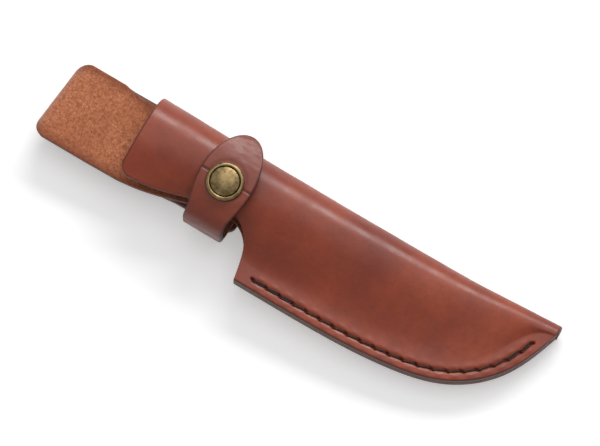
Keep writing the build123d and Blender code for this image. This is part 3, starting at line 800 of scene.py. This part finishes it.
class Nodes:
    """Short calls for building one material's node tree."""

    def __init__(self, name):
        self.mat = bpy.data.materials.new(name)
        self.mat.use_nodes = True
        self.tree = self.mat.node_tree
        self.shader = self.tree.nodes["Principled BSDF"]
        self.where = self.tree.nodes.new("ShaderNodeTexCoord").outputs["Object"]

    def link(self, a, b):
        self.tree.links.new(a, b)

    def noise(self, size_mm, detail=4.0, rough=0.55, stretch=(1, 1, 1)):
        node = self.tree.nodes.new("ShaderNodeTexNoise")
        node.inputs["Scale"].default_value = 1 / (size_mm * MM)
        node.inputs["Detail"].default_value = detail
        node.inputs["Roughness"].default_value = rough
        scale = self.tree.nodes.new("ShaderNodeMapping")
        scale.inputs["Scale"].default_value = stretch
        self.link(self.where, scale.inputs["Vector"])
        self.link(scale.outputs[0], node.inputs["Vector"])
        return node.outputs["Fac"]

    def cells(self, size_mm, feature="F1"):
        node = self.tree.nodes.new("ShaderNodeTexVoronoi")
        node.feature = feature
        node.inputs["Scale"].default_value = 1 / (size_mm * MM)
        self.link(self.where, node.inputs["Vector"])
        return node.outputs["Distance"]

    def layer(self, name):
        node = self.tree.nodes.new("ShaderNodeAttribute")
        node.attribute_name = name
        return node.outputs["Fac"]

    def ramp(self, value, stops):
        node = self.tree.nodes.new("ShaderNodeValToRGB")
        for i, (place, colour) in enumerate(stops):
            stop = node.color_ramp.elements[i] if i < 2 else node.color_ramp.elements.new(place)
            stop.position = place
            stop.color = colour
        self.link(value, node.inputs[0])
        return node.outputs[0]

    def mix(self, share, a, b, blend="MIX"):
        node = self.tree.nodes.new("ShaderNodeMix")
        node.data_type = "RGBA"
        node.blend_type = blend
        for socket, value in ((node.inputs[0], share), (node.inputs[6], a), (node.inputs[7], b)):
            if isinstance(value, bpy.types.NodeSocket):
                self.link(value, socket)
            else:
                socket.default_value = value
        return node.outputs[2]

    def math(self, kind, a, b=0.0, clamp=False):
        node = self.tree.nodes.new("ShaderNodeMath")
        node.operation = kind
        node.use_clamp = clamp
        for socket, value in zip(node.inputs, (a, b)):
            if isinstance(value, bpy.types.NodeSocket):
                self.link(value, socket)
            else:
                socket.default_value = value
        return node.outputs[0]

    def span(self, value, low, high, out_low=0.0, out_high=1.0):
        node = self.tree.nodes.new("ShaderNodeMapRange")
        node.interpolation_type = "SMOOTHSTEP"
        for key, number in zip(("From Min", "From Max", "To Min", "To Max"),
                               (low, high, out_low, out_high)):
            node.inputs[key].default_value = number
        self.link(value, node.inputs["Value"])
        return node.outputs[0]

    def bump(self, height, distance_mm, strength=1.0, under=None):
        node = self.tree.nodes.new("ShaderNodeBump")
        node.inputs["Strength"].default_value = strength
        node.inputs["Distance"].default_value = distance_mm * MM
        self.link(height, node.inputs["Height"])
        if under is not None:
            self.link(under, node.inputs["Normal"])
        return node.outputs[0]

    def finish(self, colour=None, rough=None, normal=None, **fixed):
        for key, value in (("Base Color", colour), ("Roughness", rough), ("Normal", normal)):
            if value is not None:
                if isinstance(value, bpy.types.NodeSocket):
                    self.link(value, self.shader.inputs[key])
                else:
                    self.shader.inputs[key].default_value = value
        for key, value in fixed.items():
            self.shader.inputs[key.replace("_", " ")].default_value = value
        return self.mat


def grain_leather(name, deep, mid, warm, rough_low, rough_high):
    """Waxed smooth leather: cloudy dye, fine grain, painted shade in the stitch groove and holes,
    burnished edges.
    """
    n = Nodes(name)
    cloud = n.ramp(n.noise(26, 3), [(0.32, deep), (0.68, warm)])
    tone = n.mix(0.5, mid, cloud)
    mottle = n.noise(3.2, 5, 0.6)
    tone = n.mix(n.span(mottle, 0.3, 0.75, 0, 0.35), tone, deep)
    edge = n.span(n.layer("edge"), 0.0, 1.0, 0.85, 0.0)
    tone = n.mix(edge, tone, srgb(48, 22, 18))
    # painted shade of the stitch groove and holes, near black, from the dark layer
    tone = n.mix(n.layer("dark"), tone, srgb(14, 8, 7))
    rough = n.span(n.noise(9, 4), 0.3, 0.7, rough_low, rough_high)
    fine = n.noise(0.42, 3, 0.6)
    pores = n.cells(0.75)
    bump = n.bump(fine, 0.035, 0.55)
    bump = n.bump(pores, 0.03, 0.35, bump)
    bump = n.bump(n.noise(4.5, 3), 0.16, 0.6, bump)
    return n.finish(tone, rough, bump, Specular_IOR_Level=0.5)


def flesh_leather():
    """Napped flesh side: short fibres, pale specks, darker towards the cut edges."""
    n = Nodes("flesh_side")
    nap = n.noise(1.1, 6, 0.7)
    tone = n.ramp(nap, [(0.30, srgb(128, 66, 42)), (0.62, srgb(196, 122, 84))])
    tone = n.mix(n.span(n.noise(0.6, 3, 0.7), 0.56, 0.70), tone, srgb(222, 158, 118))
    tone = n.mix(n.span(n.noise(16, 3), 0.35, 0.7, 0, 0.3), tone, srgb(140, 72, 46))
    tone = n.mix(n.span(n.layer("edge"), 0.2, 5.0, 0.55, 0.0), tone, srgb(104, 50, 34))
    bump = n.bump(nap, 0.35, 0.8)
    bump = n.bump(n.noise(0.5, 4, 0.7), 0.12, 0.6, bump)
    return n.finish(tone, 0.88, bump, Specular_IOR_Level=0.25, Sheen_Weight=0.25)


def cut_edge(name, dark, light):
    """Burnished cut edge with the leather's layers showing as fine lines."""
    n = Nodes(name)
    lines = n.noise(0.9, 5, 0.65, (0.12, 0.12, 3.0))
    tone = n.ramp(lines, [(0.35, dark), (0.7, light)])
    bump = n.bump(lines, 0.12, 0.7)
    return n.finish(tone, 0.5, bump, Specular_IOR_Level=0.4)


def thread_finish():
    """Waxed braided thread, near black with worn brown crowns."""
    n = Nodes("waxed_thread")
    fibre = n.noise(0.35, 5, 0.7)
    tone = n.ramp(fibre, [(0.4, srgb(20, 12, 10)), (0.72, srgb(92, 58, 44))])
    return n.finish(tone, 0.55, n.bump(fibre, 0.08, 0.8), Specular_IOR_Level=0.5)


def brass(name, ring=False):
    """Antique brass: dark patina, rubbed bright where it is touched; on the cap, patina in the ring
    groove and painted shade round the outer rim.
    """
    n = Nodes(name)
    patina = n.noise(2.4, 6, 0.65)
    tone = n.ramp(patina, [(0.3, srgb(112, 92, 60)), (0.7, srgb(176, 152, 108))])
    if ring:
        r = n.layer("radius")
        hollow = n.math("SUBTRACT", 1.0, n.span(n.math("ABSOLUTE", n.math("SUBTRACT", r, 5.8)),
                                                0.0, 0.42))
        tone = n.mix(hollow, tone, srgb(30, 24, 18))
        # painted shade round the outer side of the cap's rolled rim
        tone = n.mix(n.span(r, 7.1, 7.5), tone, srgb(70, 56, 38))
    rough = n.span(n.noise(1.2, 4), 0.3, 0.7, 0.26, 0.46)
    bump = n.bump(n.noise(0.5, 3), 0.02, 0.4)
    return n.finish(tone, rough, bump, Metallic=1.0)


def wire_steel():
    n = Nodes("spring_wire")
    drawn = n.noise(0.6, 4)
    tone = n.ramp(drawn, [(0.3, srgb(120, 120, 118)), (0.7, srgb(180, 180, 176))])
    return n.finish(tone, 0.35, n.bump(drawn, 0.02, 0.4), Metallic=1.0)


leather_mats = [grain_leather("pouch_grain", srgb(104, 38, 24), srgb(138, 54, 32),
                              srgb(166, 74, 38), 0.33, 0.44),
                flesh_leather(), cut_edge("pouch_edge", srgb(34, 22, 20), srgb(104, 74, 60))]
strap_mats = [grain_leather("strap_grain", srgb(98, 38, 26), srgb(128, 54, 36),
                            srgb(150, 70, 44), 0.36, 0.5),
              leather_mats[1], cut_edge("strap_edge", srgb(44, 20, 18), srgb(86, 46, 36))]
thread_mat = thread_finish()
brass_mat = brass("antique_brass")


def dress(obj, materials, slot, body, *nodes):
    for material in materials:
        obj.data.materials.append(material)
    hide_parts(*nodes)
    if body:
        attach(obj, body)
    return obj


# ---- pieces --------------------------------------------------------------
dress(blank(), leather_mats, "leather", "sheath", "pouch_body")
dress(welt(), [leather_mats[2]] * 3, "leather", "sheath", "welt")
strap_obj = dress(strap(), strap_mats, "strap_leather", None, "strap_base", "strap_flap")
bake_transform(strap_obj)
holes = stitch_holes()
last = len(holes) - 2
double = (0, 1, 2, last, last - 1)
dress(stitches("seam_stitches_front", holes, SEAM_TOP_Z - 0.25, 1, 0.85, doubled=double),
      [thread_mat], "thread", "sheath", "seam_thread_front")
dress(stitches("seam_stitches_back", holes, PANEL_Z + 0.2, -1, 0.85, doubled=double),
      [thread_mat], "thread", "sheath", "seam_thread_back")
dress(stitches("strap_stitches_inside", sew_spots(), FLESH_Z + 0.2, 1, 0.8, closed=True),
      [thread_mat], "thread", "sheath", "strap_thread_inside")
dress(stitches("strap_stitches_outside", sew_spots(), ANCHOR_Z - LEATHER - 0.2, -1, 0.8,
               closed=True), [thread_mat], "thread", "sheath", "strap_thread_outside")
dress(snap_cap(), [brass("cap_brass", ring=True)], "snap_brass", "flap", "snap_cap")
for node in ("snap_socket", "snap_stud", "snap_post"):
    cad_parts[node].data.materials.clear()
    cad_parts[node].data.materials.append(brass_mat)
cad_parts["snap_spring"].data.materials.clear()
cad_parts["snap_spring"].data.materials.append(wire_steel())


# ---- staging -------------------------------------------------------------
def floor():
    """Pale floor just under the belt loop's end and the tip, as the sheath lies."""
    slope = PANEL_Z / (TIP_X - BELT_END_X)
    far = FLOOR_HALF
    corners = [(x, y, (x - BELT_END_X) * slope - FLOOR_SINK) for x, y in
               ((-far, -far), (far, -far), (far, far), (-far, far))]
    mesh = bpy.data.meshes.new("floor")
    mesh.from_pydata([tuple(c * MM for c in p) for p in corners], [], [(0, 1, 2, 3)])
    obj = bpy.data.objects.new("floor", mesh)
    bpy.context.scene.collection.objects.link(obj)
    n = Nodes("floor_white")
    path = n.tree.nodes.new("ShaderNodeLightPath")
    seen = n.math("MAXIMUM", path.outputs["Is Camera Ray"], path.outputs["Is Glossy Ray"])
    tone = n.ramp(n.noise(400, 2), [(0.3, (0.80, 0.80, 0.80, 1)), (0.7, (0.83, 0.83, 0.83, 1))])
    n.finish(tone, 0.9, None, Specular_IOR_Level=0.1)
    n.shader.inputs["Emission Color"].default_value = (1, 1, 1, 1)
    n.link(n.math("MULTIPLY", seen, FLOOR_GLOW), n.shader.inputs["Emission Strength"])
    mesh.materials.append(n.mat)


def lamp(name, place, size_x, size_y, power):
    data = bpy.data.lights.new(name, "AREA")
    data.shape = "RECTANGLE"
    data.size = size_x
    data.size_y = size_y
    data.energy = power
    obj = bpy.data.objects.new(name, data)
    bpy.context.scene.collection.objects.link(obj)
    obj.location = place
    obj.rotation_euler = (Vector(AIM) - Vector(place)).to_track_quat("-Z", "Y").to_euler()


def surroundings():
    """Even white light from all round."""
    world = bpy.data.worlds.new("studio")
    world.use_nodes = True
    back = world.node_tree.nodes["Background"]
    back.inputs["Color"].default_value = (1, 1, 1, 1)
    back.inputs["Strength"].default_value = WORLD_LIGHT
    bpy.context.scene.world = world


def camera():
    """Camera high over the sheath, far off, so that its lines stay near parallel."""
    view = Vector((sin(VIEW_AZIMUTH) * cos(VIEW_HEIGHT), -cos(VIEW_AZIMUTH) * cos(VIEW_HEIGHT),
                   sin(VIEW_HEIGHT)))
    data = bpy.data.cameras.new("camera")
    data.sensor_width = SENSOR_WIDTH
    data.lens = SENSOR_WIDTH * VIEW_REACH / VIEW_WIDTH
    data.clip_end = 20.0
    obj = bpy.data.objects.new("camera", data)
    bpy.context.scene.collection.objects.link(obj)
    obj.location = Vector(AIM) + view * VIEW_REACH
    obj.rotation_euler = view.to_track_quat("Z", "Y").to_euler()
    bpy.context.scene.camera = obj


floor()
surroundings()
for values in LAMPS:
    lamp(*values)
camera()
bpy.context.scene.view_settings.view_transform = "Standard"
